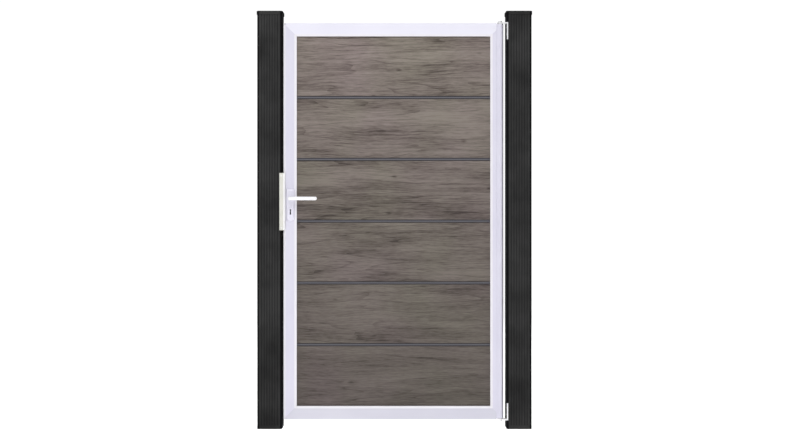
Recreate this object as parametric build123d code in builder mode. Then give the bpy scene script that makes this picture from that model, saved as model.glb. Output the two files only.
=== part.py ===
from build123d import *
import os

# A garden gate: one leaf of composite boards in an aluminium frame, between two composite
# posts. Millimetres. The origin is the centre of the hinge post's underside, +X runs along
# the fence away from the latch post, +Y away from the side the leaf is pulled shut from,
# +Z up. The leaf opens towards +Y.

# ---- posts ----
post_width = 114
post_edge_radius = 12
post_wall = 10
post_tube_height = 1868
post_foot_thickness = 16
post_cap_thickness = 16
post_cap_overhang = 2.5
post_cap_edge_radius = 2

# ---- leaf ----
leaf_width = 1000
leaf_height = 1800
leaf_ground_gap = 44
leaf_front_setback = 5
hinge_side_gap = 14
latch_side_gap = 6
member_width = 60
member_depth = 40
member_wall = 2.5
latch_lip_width = 8
latch_lip_setback = 6

# ---- boards ----
board_count = 6
board_thickness = 20
board_seat = 12
board_end_clearance = 2
board_face_clearance = 0.3
joint_pitch = 281.25
joint_height = 14
joint_recess = 4
joint_bead_height = 5
joint_bead_recess = 2
tongue_thickness = 6
tongue_length = 10
tongue_clearance = 0.3
board_edge_chamfer = 1.2

# ---- hinges ----
hinge_tube_radius = 15
hinge_tube_setback = 3
hinge_tube_width = 32
hinge_tube_end_setback = 3.5
hinge_tube_bore_radius = 10
pin_radius = 6
pin_running_clearance = 0.05
pin_depth = 45
pin_head_radius = 10
pin_head_height = 7.5
pin_head_dome = 6.5
bush_flange_radius = 13
bush_flange_thickness = 1.7
bush_end_clearance = 0.3
bush_length = 48
bracket_arm_thickness = 6
bracket_arm_radius = 13
bracket_leg_thickness = 6
bracket_leg_inset = 1
bracket_leg_length = 78
bracket_front_setback = 1

# ---- lock, backplates and levers ----
spindle_backset = 32
spindle_height = 1048
spindle_side = 8
spindle_socket_depth = 22
spindle_hole_radius = 10
plate_width = 40
plate_height = 150
plate_arch_rise = 6
plate_foot_rise = 17
plate_corner_radius = 4
plate_thickness = 6
plate_center_drop = 30
plate_neck_clearance = 0.3
boss_width = 27
boss_height = 45
boss_thickness = 2
keyhole_drop = 61.5
keyhole_height = 25
keyhole_round_radius = 3.6
keyhole_throat_width = 4.5
keyhole_foot_width = 7
keyhole_clearance = 3
lever_reach = 122
lever_height = 16.6
lever_depth = 11
lever_standoff = 40
lever_edge_radius = 3
neck_radius = 9
neck_end_clearance = 1
forend_width = 24
forend_length = 235
forend_thickness = 3
lock_case_height = 180
lock_case_depth = 20
lock_case_clearance = 2.5
lock_spindle_clearance = 1

# ---- strike ----
strike_height = 260
strike_center_z = 1033
strike_flange_thickness = 3
strike_flange_overlap = 7
strike_web_thickness = 3
strike_web_depth = 40
strike_hole_width = 16
latch_hole_height = 26
latch_hole_rise = 16
bolt_hole_height = 38
bolt_hole_drop = 43

# ---- places worked out from the sizes ----
post_half = post_width / 2
post_height = post_foot_thickness + post_tube_height + post_cap_thickness
hinge_post_face_x = -post_half
latch_post_face_x = hinge_post_face_x - hinge_side_gap - leaf_width - latch_side_gap
latch_post_x = latch_post_face_x - post_half

leaf_right_x = hinge_post_face_x - hinge_side_gap
leaf_left_x = leaf_right_x - leaf_width
leaf_bottom_z = leaf_ground_gap
leaf_top_z = leaf_bottom_z + leaf_height
leaf_mid_z = (leaf_bottom_z + leaf_top_z) / 2
leaf_front_y = -post_half + leaf_front_setback
leaf_mid_y = leaf_front_y + member_depth / 2
leaf_back_y = leaf_front_y + member_depth

opening_left_x = leaf_left_x + member_width
opening_right_x = leaf_right_x - member_width
opening_bottom_z = leaf_bottom_z + member_width
opening_top_z = leaf_top_z - member_width
groove_depth = board_seat + board_end_clearance
groove_width = board_thickness + 2 * board_face_clearance
chamber_inner = groove_depth + member_wall

tube_left_x = leaf_right_x - hinge_tube_width
pin_x = leaf_right_x - hinge_tube_radius
pin_y = leaf_front_y + hinge_tube_setback + hinge_tube_radius
tube_top_z = leaf_top_z - hinge_tube_end_setback
tube_bottom_z = leaf_bottom_z + hinge_tube_end_setback
arm_bottom_z = tube_top_z + bush_flange_thickness + bush_end_clearance
arm_top_z = arm_bottom_z + bracket_arm_thickness
bracket_front_y = -post_half + bracket_front_setback
bracket_back_y = pin_y + bracket_arm_radius
bracket_leg_width = bracket_back_y - bracket_front_y
bracket_pocket_depth = bracket_leg_inset + bracket_leg_thickness
bracket_leg_y = (bracket_front_y + bracket_back_y) / 2

spindle_x = leaf_left_x + spindle_backset
plate_center_z = spindle_height - plate_center_drop
keyhole_center_z = spindle_height - keyhole_drop
edge_face_y = (leaf_front_y + latch_lip_setback + leaf_back_y) / 2
strike_left_x = latch_post_face_x - post_edge_radius
strike_right_x = leaf_left_x + strike_flange_overlap
latch_hole_z = spindle_height + latch_hole_rise
bolt_hole_z = spindle_height - bolt_hole_drop

mid_depth_plane = Plane(origin=(0, leaf_mid_y, 0), x_dir=(1, 0, 0), z_dir=(0, 1, 0))
mid_height_plane = Plane.XY.offset(leaf_mid_z)

os.makedirs("parts", exist_ok=True)


def save(piece, name):
    """Label a finished piece with its own name and write it to parts/."""
    piece.part.label = name
    export_step(piece.part, "parts/" + name + ".step")


# ---- post foot, tube and cap ----
def post_square(center_x, base_z, growth):
    """The post's rounded square, grown all round by growth."""
    side = post_width + 2 * growth
    with BuildSketch(Plane(origin=(center_x, 0, base_z))) as square:
        RectangleRounded(side, side, post_edge_radius + growth)
    return square.sketch


def post_ring(center_x):
    """The extruded post's section: a rounded square with a square hollow."""
    hollow = post_width - 2 * post_wall
    with BuildSketch(Plane(origin=(center_x, 0, post_foot_thickness))) as ring:
        RectangleRounded(post_width, post_width, post_edge_radius)
        RectangleRounded(hollow, hollow, post_edge_radius / 2, mode=Mode.SUBTRACT)
    return ring.sketch


def build_foot(center_x):
    """The plug that closes a post's lower end, flush with its sides."""
    with BuildPart() as foot:
        extrude(post_square(center_x, 0, 0), amount=post_foot_thickness)
    return foot


def build_cap(center_x):
    """The cap over a post's upper end, proud of its sides."""
    cap_base_z = post_foot_thickness + post_tube_height
    with BuildPart() as cap:
        extrude(post_square(center_x, cap_base_z, post_cap_overhang), amount=post_cap_thickness)
        fillet(cap.faces().sort_by(Axis.Z)[-1].edges(), post_cap_edge_radius)
    return cap


hinge_post_foot = build_foot(0)
save(hinge_post_foot, "hinge_post_foot")

latch_post_foot = build_foot(latch_post_x)
save(latch_post_foot, "latch_post_foot")

hinge_post_cap = build_cap(0)
save(hinge_post_cap, "hinge_post_cap")

latch_post_cap = build_cap(latch_post_x)
save(latch_post_cap, "latch_post_cap")

# ---- hinge post, with a pocket for each bracket's leg ----
leg_center_x = hinge_post_face_x + bracket_leg_inset + bracket_leg_thickness / 2
leg_pocket_x = hinge_post_face_x + bracket_pocket_depth / 2
top_leg_z = arm_top_z - bracket_leg_length / 2
bottom_leg_z = 2 * leaf_mid_z - top_leg_z

with BuildPart() as hinge_post:
    extrude(post_ring(0), amount=post_tube_height)
    with Locations(
        (leg_pocket_x, bracket_leg_y, top_leg_z),
        (leg_pocket_x, bracket_leg_y, bottom_leg_z),
    ):
        Box(bracket_pocket_depth, bracket_leg_width, bracket_leg_length, mode=Mode.SUBTRACT)
save(hinge_post, "hinge_post")

# ---- latch post, with a pocket for the strike's web and holes for latch and bolt ----
web_center_x = latch_post_face_x - strike_web_thickness / 2
web_center_y = -post_half + strike_web_depth / 2

with BuildPart() as latch_post:
    extrude(post_ring(latch_post_x), amount=post_tube_height)
    with Locations((web_center_x, web_center_y, strike_center_z)):
        Box(strike_web_thickness, strike_web_depth, strike_height, mode=Mode.SUBTRACT)
    with Locations((latch_post_face_x - post_wall / 2, edge_face_y, latch_hole_z)):
        Box(post_wall, strike_hole_width, latch_hole_height, mode=Mode.SUBTRACT)
    with Locations((latch_post_face_x - post_wall / 2, edge_face_y, bolt_hole_z)):
        Box(post_wall, strike_hole_width, bolt_hole_height, mode=Mode.SUBTRACT)
save(latch_post, "latch_post")

# ---- strike: a flange the leaf's lip closes against, and a web let into the post ----
flange_center_x = (strike_left_x + strike_right_x) / 2
flange_center_y = -post_half - strike_flange_thickness / 2

with BuildPart() as strike_plate:
    with Locations((flange_center_x, flange_center_y, strike_center_z)):
        Box(strike_right_x - strike_left_x, strike_flange_thickness, strike_height)
    with Locations((web_center_x, web_center_y, strike_center_z)):
        Box(strike_web_thickness, strike_web_depth, strike_height)
    with Locations((web_center_x, edge_face_y, latch_hole_z)):
        Box(strike_web_thickness, strike_hole_width, latch_hole_height, mode=Mode.SUBTRACT)
    with Locations((web_center_x, edge_face_y, bolt_hole_z)):
        Box(strike_web_thickness, strike_hole_width, bolt_hole_height, mode=Mode.SUBTRACT)
save(strike_plate, "strike_plate")

# ---- hinge brackets: an arm over the tube's end and a leg down the post ----
with BuildPart() as top_hinge_bracket:
    with BuildSketch(Plane.XY.offset(arm_bottom_z)):
        with Locations((pin_x, pin_y)):
            Circle(bracket_arm_radius)
        with Locations((leg_center_x, bracket_leg_y)):
            Rectangle(bracket_leg_thickness, bracket_leg_width)
        make_hull()
        with Locations((pin_x, pin_y)):
            Circle(pin_radius, mode=Mode.SUBTRACT)
    extrude(amount=bracket_arm_thickness)
    with Locations((leg_center_x, bracket_leg_y, top_leg_z)):
        Box(bracket_leg_thickness, bracket_leg_width, bracket_leg_length)
save(top_hinge_bracket, "top_hinge_bracket")

with BuildPart() as bottom_hinge_bracket:
    mirror(top_hinge_bracket.part, about=mid_height_plane)
save(bottom_hinge_bracket, "bottom_hinge_bracket")

# ---- hinge pins: a shaft fixed in the arm, with a domed head outside ----
pin_tip_z = arm_bottom_z - pin_depth

with BuildPart() as top_hinge_pin:
    with BuildSketch(Plane(origin=(pin_x, pin_y, pin_tip_z))):
        Circle(pin_radius)
    extrude(amount=arm_top_z - pin_tip_z)
    with BuildSketch(Plane(origin=(pin_x, pin_y, arm_top_z))):
        Circle(pin_head_radius)
    extrude(amount=pin_head_height)
    fillet(top_hinge_pin.edges().sort_by(Axis.Z)[-1], pin_head_dome)
save(top_hinge_pin, "top_hinge_pin")

with BuildPart() as bottom_hinge_pin:
    mirror(top_hinge_pin.part, about=mid_height_plane)
save(bottom_hinge_pin, "bottom_hinge_pin")

# ---- hinge bushes: a flanged sleeve in each end of the leaf's hinge tube ----
with BuildPart() as top_hinge_bush:
    with BuildSketch(Plane(origin=(pin_x, pin_y, tube_top_z - bush_length))):
        Circle(hinge_tube_bore_radius)
    extrude(amount=bush_length)
    with BuildSketch(Plane(origin=(pin_x, pin_y, tube_top_z))):
        Circle(bush_flange_radius)
    extrude(amount=bush_flange_thickness)
    with BuildSketch(Plane(origin=(pin_x, pin_y, tube_top_z - bush_length))):
        Circle(pin_radius + pin_running_clearance)
    extrude(amount=bush_length + bush_flange_thickness, mode=Mode.SUBTRACT)
save(top_hinge_bush, "top_hinge_bush")

with BuildPart() as bottom_hinge_bush:
    mirror(top_hinge_bush.part, about=mid_height_plane)
save(bottom_hinge_bush, "bottom_hinge_bush")

# ---- latch stile: a hollow member with a lip that closes behind the strike ----
lip_center_x = leaf_left_x + latch_lip_width / 2
lip_center_y = leaf_front_y + latch_lip_setback / 2
stile_center_x = leaf_left_x + member_width / 2
chamber_left_x = leaf_left_x + latch_lip_width + member_wall
chamber_right_x = opening_left_x - chamber_inner
chamber_center_x = (chamber_left_x + chamber_right_x) / 2
chamber_depth = member_depth - 2 * member_wall
hole_span = member_depth
keyhole_cut_width = keyhole_foot_width + 2 * keyhole_clearance
keyhole_cut_height = keyhole_height + 2 * keyhole_clearance
forend_plane = Plane(origin=(leaf_left_x, edge_face_y, strike_center_z), x_dir=(0, 1, 0), z_dir=(1, 0, 0))

with BuildPart() as latch_stile:
    with BuildSketch(Plane.XY.offset(leaf_bottom_z)):
        with Locations((stile_center_x, leaf_mid_y)):
            Rectangle(member_width, member_depth)
        with Locations((opening_left_x - groove_depth / 2, leaf_mid_y)):
            Rectangle(groove_depth, groove_width, mode=Mode.SUBTRACT)
        with Locations((chamber_center_x, leaf_mid_y)):
            Rectangle(chamber_right_x - chamber_left_x, chamber_depth, mode=Mode.SUBTRACT)
        with Locations((lip_center_x, lip_center_y)):
            Rectangle(latch_lip_width, latch_lip_setback, mode=Mode.SUBTRACT)
    extrude(amount=leaf_height)
    split(bisect_by=Plane(origin=(leaf_left_x, 0, leaf_top_z), z_dir=(1, 0, 1)), keep=Keep.BOTTOM)
    split(bisect_by=Plane(origin=(leaf_left_x, 0, leaf_bottom_z), z_dir=(1, 0, -1)), keep=Keep.BOTTOM)
    with BuildSketch(forend_plane):
        SlotOverall(forend_length, forend_width, rotation=90)
    extrude(amount=forend_thickness, mode=Mode.SUBTRACT)
    with Locations(Location((spindle_x, leaf_mid_y, spindle_height), (90, 0, 0))):
        Cylinder(spindle_hole_radius, hole_span, mode=Mode.SUBTRACT)
    with Locations((spindle_x, leaf_mid_y, keyhole_center_z)):
        Box(keyhole_cut_width, hole_span, keyhole_cut_height, mode=Mode.SUBTRACT)
save(latch_stile, "latch_stile")

# ---- hinge stile: a hollow member with the hinge tube along its outer side ----
flat_width = member_width - hinge_tube_width
flat_center_x = opening_right_x + flat_width / 2
hinge_chamber_width = flat_width - groove_depth - 2 * member_wall
hinge_chamber_x = tube_left_x - member_wall - hinge_chamber_width / 2

with BuildPart() as hinge_stile:
    with BuildSketch(Plane.XY.offset(leaf_bottom_z)):
        with Locations((flat_center_x, leaf_mid_y)):
            Rectangle(flat_width, member_depth)
        with Locations((opening_right_x + groove_depth / 2, leaf_mid_y)):
            Rectangle(groove_depth, groove_width, mode=Mode.SUBTRACT)
        with Locations((hinge_chamber_x, leaf_mid_y)):
            Rectangle(hinge_chamber_width, chamber_depth, mode=Mode.SUBTRACT)
    extrude(amount=leaf_height)
    split(bisect_by=Plane(origin=(opening_right_x, 0, opening_top_z), z_dir=(-1, 0, 1)), keep=Keep.BOTTOM)
    split(bisect_by=Plane(origin=(opening_right_x, 0, opening_bottom_z), z_dir=(-1, 0, -1)), keep=Keep.BOTTOM)
    with BuildSketch(Plane.XY.offset(tube_bottom_z)):
        with Locations(((tube_left_x + pin_x) / 2, pin_y)):
            Rectangle(pin_x - tube_left_x, 2 * hinge_tube_radius)
        with Locations((pin_x, pin_y)):
            Circle(hinge_tube_radius)
            Circle(hinge_tube_bore_radius, mode=Mode.SUBTRACT)
    extrude(amount=tube_top_z - tube_bottom_z)
save(hinge_stile, "hinge_stile")

# ---- rails: hollow members, mitred into the stiles and butted to the hinge tube ----
rail_length = tube_left_x - leaf_left_x
rail_plane = Plane(origin=(leaf_left_x, leaf_mid_y, 0), x_dir=(0, 1, 0), z_dir=(1, 0, 0))
rail_chamber_height = member_width - chamber_inner - member_wall

with BuildPart() as top_rail:
    with BuildSketch(rail_plane):
        with Locations((0, leaf_top_z - member_width / 2)):
            Rectangle(member_depth, member_width)
        with Locations((0, opening_top_z + groove_depth / 2)):
            Rectangle(groove_width, groove_depth, mode=Mode.SUBTRACT)
        with Locations((0, leaf_top_z - member_wall - rail_chamber_height / 2)):
            Rectangle(chamber_depth, rail_chamber_height, mode=Mode.SUBTRACT)
    extrude(amount=rail_length)
    split(bisect_by=Plane(origin=(leaf_left_x, 0, leaf_top_z), z_dir=(-1, 0, -1)), keep=Keep.BOTTOM)
    split(bisect_by=Plane(origin=(opening_right_x, 0, opening_top_z), z_dir=(1, 0, -1)), keep=Keep.BOTTOM)
    with Locations((lip_center_x, lip_center_y, leaf_top_z - member_width / 2)):
        Box(latch_lip_width, latch_lip_setback, member_width, mode=Mode.SUBTRACT)
save(top_rail, "top_rail")

with BuildPart() as bottom_rail:
    mirror(top_rail.part, about=mid_height_plane)
save(bottom_rail, "bottom_rail")

# ---- boards: tongue on the upper edge, groove in the lower edge, a bead in each joint ----
half_board = board_thickness / 2
half_joint = joint_height / 2
half_bead = joint_bead_height / 2
recess_face = half_board - joint_recess
bead_face = half_board - joint_bead_recess
half_tongue = tongue_thickness / 2
half_groove = half_tongue + tongue_clearance
groove_reach = tongue_length + tongue_clearance
first_joint_z = leaf_mid_z - joint_pitch * (board_count / 2 - 1)
board_length = opening_right_x - opening_left_x + 2 * board_seat
board_plane = Plane(
    origin=(opening_left_x - board_seat, leaf_mid_y, 0),
    x_dir=(0, 1, 0),
    z_dir=(1, 0, 0),
)


def lower_edge(joint_z):
    """Points of a board's grooved lower edge, from its middle out to its face."""
    return [
        (0, joint_z + half_bead + groove_reach),
        (half_groove, joint_z + half_bead + groove_reach),
        (half_groove, joint_z + half_bead),
        (recess_face, joint_z + half_bead),
        (recess_face, joint_z + half_joint),
        (half_board - board_edge_chamfer, joint_z + half_joint),
        (half_board, joint_z + half_joint + board_edge_chamfer),
    ]


def upper_edge(joint_z):
    """Points of a board's tongued upper edge, from its face in to its middle."""
    return [
        (half_board, joint_z - half_joint - board_edge_chamfer),
        (half_board - board_edge_chamfer, joint_z - half_joint),
        (recess_face, joint_z - half_joint),
        (recess_face, joint_z - half_bead),
        (bead_face, joint_z - half_bead),
        (bead_face, joint_z + half_bead),
        (half_tongue, joint_z + half_bead),
        (half_tongue, joint_z + half_bead + tongue_length),
        (0, joint_z + half_bead + tongue_length),
    ]


for number in range(1, board_count + 1):
    joint_below_z = first_joint_z + joint_pitch * (number - 2)
    joint_above_z = first_joint_z + joint_pitch * (number - 1)
    lower_points = lower_edge(joint_below_z)
    upper_points = upper_edge(joint_above_z)
    if number == 1:
        seat_z = opening_bottom_z - board_seat
        lower_points = [(0, seat_z), (half_board, seat_z)]
    if number == board_count:
        seat_z = opening_top_z + board_seat
        upper_points = [(half_board, seat_z), (0, seat_z)]
    with BuildPart() as board:
        with BuildSketch(board_plane):
            with BuildLine():
                Polyline(*lower_points, *upper_points)
                mirror(about=Plane.YZ)
            make_face()
        extrude(amount=board_length)
    save(board, "board_" + str(number))

# ---- lock: its forend in the stile's edge and its case inside the stile ----
with BuildPart() as lock_forend:
    with BuildSketch(forend_plane):
        SlotOverall(forend_length, forend_width, rotation=90)
    extrude(amount=forend_thickness)
save(lock_forend, "lock_forend")

case_left_x = chamber_left_x + lock_case_clearance
case_right_x = chamber_right_x - lock_case_clearance
case_center_x = (case_left_x + case_right_x) / 2
case_center_z = (spindle_height + keyhole_center_z) / 2
spindle_corner_radius = spindle_side / 2 * 2 ** 0.5

with BuildPart() as lock_case:
    with Locations((case_center_x, edge_face_y, case_center_z)):
        Box(case_right_x - case_left_x, lock_case_depth, lock_case_height)
    with Locations(Location((spindle_x, edge_face_y, spindle_height), (90, 0, 0))):
        Cylinder(spindle_corner_radius + lock_spindle_clearance, lock_case_depth, mode=Mode.SUBTRACT)
save(lock_case, "lock_case")

# ---- backplates: arched above, round below, with a keyhole in a raised oval ----
plate_plane = Plane(origin=(spindle_x, leaf_front_y, 0), x_dir=(1, 0, 0), z_dir=(0, -1, 0))
half_plate = plate_width / 2
plate_top_z = plate_center_z + plate_height / 2
plate_bottom_z = plate_center_z - plate_height / 2
plate_shoulder_z = plate_top_z - plate_arch_rise
plate_foot_z = plate_bottom_z + plate_foot_rise
keyhole_top_z = keyhole_center_z + keyhole_height / 2
keyhole_round_z = keyhole_top_z - keyhole_round_radius
keyhole_foot_z = keyhole_center_z - keyhole_height / 2

with BuildPart() as front_backplate:
    with BuildSketch(plate_plane) as plate_outline:
        with BuildLine():
            Line((half_plate, plate_foot_z), (half_plate, plate_shoulder_z))
            ThreePointArc((half_plate, plate_shoulder_z), (0, plate_top_z), (-half_plate, plate_shoulder_z))
            Line((-half_plate, plate_shoulder_z), (-half_plate, plate_foot_z))
            ThreePointArc((-half_plate, plate_foot_z), (0, plate_bottom_z), (half_plate, plate_foot_z))
        make_face()
        fillet(plate_outline.vertices().sort_by(Axis.Y)[-2:], plate_corner_radius)
    extrude(amount=plate_thickness)
    with BuildSketch(plate_plane.offset(plate_thickness)):
        with Locations((0, keyhole_center_z)):
            Ellipse(boss_width / 2, boss_height / 2)
    extrude(amount=boss_thickness)
    with BuildSketch(plate_plane):
        with Locations((0, keyhole_round_z)):
            Circle(keyhole_round_radius)
        with BuildLine():
            Polyline(
                (-keyhole_throat_width / 2, keyhole_round_z),
                (keyhole_throat_width / 2, keyhole_round_z),
                (keyhole_foot_width / 2, keyhole_foot_z),
                (-keyhole_foot_width / 2, keyhole_foot_z),
                close=True,
            )
        make_face()
        with Locations((0, spindle_height)):
            Circle(neck_radius + plate_neck_clearance)
    extrude(amount=plate_thickness + boss_thickness, mode=Mode.SUBTRACT)
save(front_backplate, "front_backplate")

with BuildPart() as back_backplate:
    mirror(front_backplate.part, about=mid_depth_plane)
save(back_backplate, "back_backplate")

# ---- levers: a round neck through the backplate and a round-ended grip along the leaf ----
grip_back_y = leaf_front_y - lever_standoff
grip_front_y = grip_back_y - lever_depth
grip_left_x = spindle_x - neck_radius
grip_length = lever_reach + neck_radius
grip_plane = Plane(
    origin=(grip_left_x + grip_length / 2, grip_back_y, spindle_height),
    x_dir=(1, 0, 0),
    z_dir=(0, -1, 0),
)
neck_start_y = leaf_front_y - neck_end_clearance
neck_length = neck_start_y - grip_front_y - lever_edge_radius

with BuildPart() as front_lever:
    with BuildSketch(grip_plane):
        SlotOverall(grip_length, lever_height)
    extrude(amount=lever_depth)
    fillet(front_lever.faces().filter_by(Plane.XZ).edges(), lever_edge_radius)
    with BuildSketch(Plane(origin=(spindle_x, neck_start_y, spindle_height), z_dir=(0, -1, 0))):
        Circle(neck_radius)
    extrude(amount=neck_length)
    with BuildSketch(Plane(origin=(spindle_x, neck_start_y, spindle_height), z_dir=(0, -1, 0))):
        Rectangle(spindle_side, spindle_side)
    extrude(amount=spindle_socket_depth, mode=Mode.SUBTRACT)
save(front_lever, "front_lever")

with BuildPart() as back_lever:
    mirror(front_lever.part, about=mid_depth_plane)
save(back_lever, "back_lever")

# ---- spindle: the square bar that joins the two levers through the lock ----
spindle_length = 2 * (leaf_mid_y - neck_start_y + spindle_socket_depth)

with BuildPart() as spindle:
    with Locations((spindle_x, leaf_mid_y, spindle_height)):
        Box(spindle_side, spindle_length, spindle_side)
save(spindle, "spindle")
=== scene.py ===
import bpy
import math
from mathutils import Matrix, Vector


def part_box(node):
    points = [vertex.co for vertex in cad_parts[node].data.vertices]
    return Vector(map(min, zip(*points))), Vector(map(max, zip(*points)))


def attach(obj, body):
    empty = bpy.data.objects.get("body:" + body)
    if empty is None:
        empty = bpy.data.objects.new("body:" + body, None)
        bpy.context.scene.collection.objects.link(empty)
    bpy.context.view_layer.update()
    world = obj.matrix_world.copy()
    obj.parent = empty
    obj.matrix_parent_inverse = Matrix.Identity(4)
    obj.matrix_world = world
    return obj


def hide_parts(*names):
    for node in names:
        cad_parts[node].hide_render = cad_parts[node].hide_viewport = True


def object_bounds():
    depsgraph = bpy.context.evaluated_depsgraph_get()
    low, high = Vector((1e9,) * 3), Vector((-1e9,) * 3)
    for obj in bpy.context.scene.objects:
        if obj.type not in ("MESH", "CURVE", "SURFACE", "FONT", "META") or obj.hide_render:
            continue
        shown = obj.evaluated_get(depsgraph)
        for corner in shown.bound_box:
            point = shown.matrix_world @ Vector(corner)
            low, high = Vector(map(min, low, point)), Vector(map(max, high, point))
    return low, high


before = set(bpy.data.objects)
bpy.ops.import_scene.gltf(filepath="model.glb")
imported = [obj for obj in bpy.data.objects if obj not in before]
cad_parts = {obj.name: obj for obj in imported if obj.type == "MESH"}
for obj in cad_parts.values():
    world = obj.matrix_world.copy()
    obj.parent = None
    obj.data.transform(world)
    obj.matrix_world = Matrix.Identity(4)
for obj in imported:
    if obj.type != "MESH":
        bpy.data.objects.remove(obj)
cad_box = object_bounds()


# ---- posts ------------------------------------------------------------------------------
# Two square posts of wood-plastic composite, 114 mm wide and hollow, extruded with fine
# ribs down all four sides and sawn to length. The hinge post has a slot behind its skin for
# each bracket's leg; the latch post has a pocket for the strike and holes for its bolts.

post_edge_radius = 0.012
post_wall = 0.010
rib_strips = 15
rib_slope = 0.0014
rib_depth = 0.0014
cutter_overrun = 0.004


def srgb(code):
    """An sRGB hex colour as linear RGBA."""
    values = [int(code[i:i + 2], 16) / 255 for i in (1, 3, 5)]
    return [v / 12.92 if v <= 0.04045 else ((v + 0.055) / 1.055) ** 2.4 for v in values] + [1.0]


def add_node(tree, kind, settings=None, inputs=None, links=None):
    """Add a node with its settings, its input values and the links into it."""
    made = tree.nodes.new(kind)
    for name, value in (settings or {}).items():
        setattr(made, name, value)
    for key, value in (inputs or {}).items():
        made.inputs[key].default_value = value
    for key, source in (links or {}).items():
        tree.links.new(source, made.inputs[key])
    return made


def new_material(name, values):
    """A named material with its shader's constant values, its node tree and its shader."""
    material = bpy.data.materials.new(name)
    material.use_nodes = True
    shader = material.node_tree.nodes["Principled BSDF"]
    for key, value in values.items():
        shader.inputs[key].default_value = value
    return material, material.node_tree, shader


def start_piece(name):
    """Name the object that an operator has just added."""
    piece = bpy.context.object
    piece.name = name
    piece.data.name = name
    return piece


def pick_faces(piece, wanted):
    """In edit mode, select just the faces that a test on centre and normal accepts."""
    bpy.ops.object.mode_set(mode="EDIT")
    bpy.ops.mesh.select_mode(type="FACE")
    bpy.ops.mesh.select_all(action="DESELECT")
    bpy.ops.object.mode_set(mode="OBJECT")
    for face in piece.data.polygons:
        face.select = wanted(
            piece.matrix_world @ face.center, piece.matrix_world.to_3x3() @ face.normal
        )
    bpy.ops.object.mode_set(mode="EDIT")


def pick_edges(piece, wanted):
    """In edit mode, select just the edges that a test on their two ends accepts."""
    bpy.ops.object.mode_set(mode="EDIT")
    bpy.ops.mesh.select_mode(type="EDGE")
    bpy.ops.mesh.select_all(action="DESELECT")
    bpy.ops.object.mode_set(mode="OBJECT")
    spots = [piece.matrix_world @ v.co for v in piece.data.vertices]
    for edge in piece.data.edges:
        edge.select = wanted(spots[edge.vertices[0]], spots[edge.vertices[1]])
    bpy.ops.object.mode_set(mode="EDIT")


def pick_points(piece, wanted):
    """In edit mode, select just the vertices whose place a test accepts."""
    bpy.ops.object.mode_set(mode="EDIT")
    bpy.ops.mesh.select_mode(type="VERT")
    bpy.ops.mesh.select_all(action="DESELECT")
    bpy.ops.object.mode_set(mode="OBJECT")
    for vertex in piece.data.vertices:
        vertex.select = wanted(piece.matrix_world @ vertex.co)
    bpy.ops.object.mode_set(mode="EDIT")


def take(piece):
    """Select just one piece and make it the active one."""
    bpy.ops.object.select_all(action="DESELECT")
    bpy.context.view_layer.objects.active = piece
    piece.select_set(True)


def add_block(name, low, high):
    """A box primitive between two corners, with its place in its mesh."""
    bpy.ops.object.select_all(action="DESELECT")
    middle = [(a + b) / 2 for a, b in zip(low, high)]
    bpy.ops.mesh.primitive_cube_add(size=1, location=middle)
    bpy.context.object.scale = [b - a for a, b in zip(low, high)]
    bpy.ops.object.transform_apply(location=True, rotation=True, scale=True)
    return start_piece(name)


def cut(piece, cutter, operation="DIFFERENCE"):
    """Cut one piece with another, or join it on, and remove the cutter."""
    take(piece)
    change = piece.modifiers.new("cut", "BOOLEAN")
    change.operation = operation
    change.solver = "EXACT"
    change.object = cutter
    bpy.ops.object.modifier_apply(modifier=change.name)
    bpy.data.objects.remove(cutter)


def soften(piece, width, segments=2, angle=40):
    """Round a piece's sharp edges a little and shade it smooth between them."""
    take(piece)
    rounding = piece.modifiers.new("rounding", "BEVEL")
    rounding.width = width
    rounding.segments = segments
    rounding.limit_method = "ANGLE"
    rounding.angle_limit = math.radians(angle)
    bpy.ops.object.modifier_apply(modifier=rounding.name)
    bpy.ops.object.shade_smooth_by_angle(angle=math.radians(50))
    flatness = piece.modifiers.new("flatness", "WEIGHTED_NORMAL")
    flatness.keep_sharp = True
    bpy.ops.object.modifier_apply(modifier=flatness.name)


def dress(name, material):
    """Give a CAD node's own object one material."""
    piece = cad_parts[name]
    if not piece.data.materials:
        piece.data.materials.append(material)
    for slot in piece.material_slots:
        slot.material = material


def fit_out(piece, material, body, node):
    """Finish a new piece: its material, the body it rides on and the CAD node it replaces."""
    piece.data.materials.clear()
    piece.data.materials.append(material)
    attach(piece, body)
    if node:
        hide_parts(node)


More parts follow.
